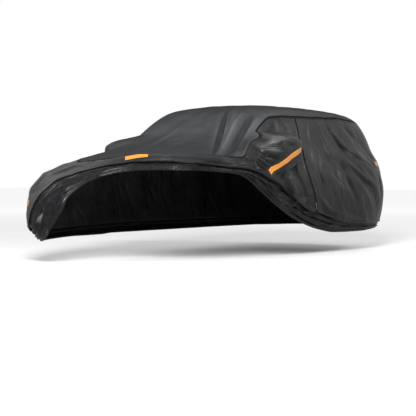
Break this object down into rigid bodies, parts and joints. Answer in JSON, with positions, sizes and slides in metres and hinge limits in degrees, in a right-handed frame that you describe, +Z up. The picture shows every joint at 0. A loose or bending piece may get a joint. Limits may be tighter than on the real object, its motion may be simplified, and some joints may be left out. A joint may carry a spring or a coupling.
{
  "type": "fitted car cover",
  "caption": "Fitted cloth car cover, hollow inside, with mirror pockets, a side zip, reflective strips and its front edge turned back.",
  "frame": {"origin": "under the middle of the roof zone, on the inside of the top panel, where the cover rests on a roof", "axes": "+X towards the nose, +Y to the left side, +Z up; the ground is at z = -1.4685"},
  "size_m": [4.4648, 1.964, 1.2793],
  "materials": {
    "cloth_top": "woven grey cloth with a faint sheen",
    "cloth_front": "woven charcoal cloth with a soft sheen",
    "cloth_left_rear": "woven charcoal cloth with a soft sheen",
    "cloth_right_rear": "woven charcoal cloth with a soft sheen",
    "cloth_right_front": "woven charcoal cloth with a soft sheen",
    "cloth_left_front": "woven charcoal cloth with a soft sheen",
    "cloth_left_pocket": "woven charcoal cloth with a soft sheen",
    "cloth_right_pocket": "woven charcoal cloth with a soft sheen",
    "zip_black": "black zip tape and coil",
    "reflective_orange": "orange reflective tape with a grey centre band",
    "slider_metal": "black painted slider"
  },
  "bodies": {
    "root": {"top_panel": "cloth_top", "front_panel": "cloth_front", "left_rear_panel": "cloth_left_rear", "right_rear_panel": "cloth_right_rear", "right_front_panel": "cloth_right_front", "left_front_panel": "cloth_left_front", "left_mirror_pocket": "cloth_left_pocket", "right_mirror_pocket": "cloth_right_pocket", "strip_left_pocket": "reflective_orange", "strip_right_pocket": "reflective_orange", "strip_front_left": "reflective_orange", "strip_front_right": "reflective_orange", "strip_rear_left": "reflective_orange", "strip_rear_right": "reflective_orange", "zip": "zip_black", "zip_slider": "slider_metal"}
  },
  "joints": []
}
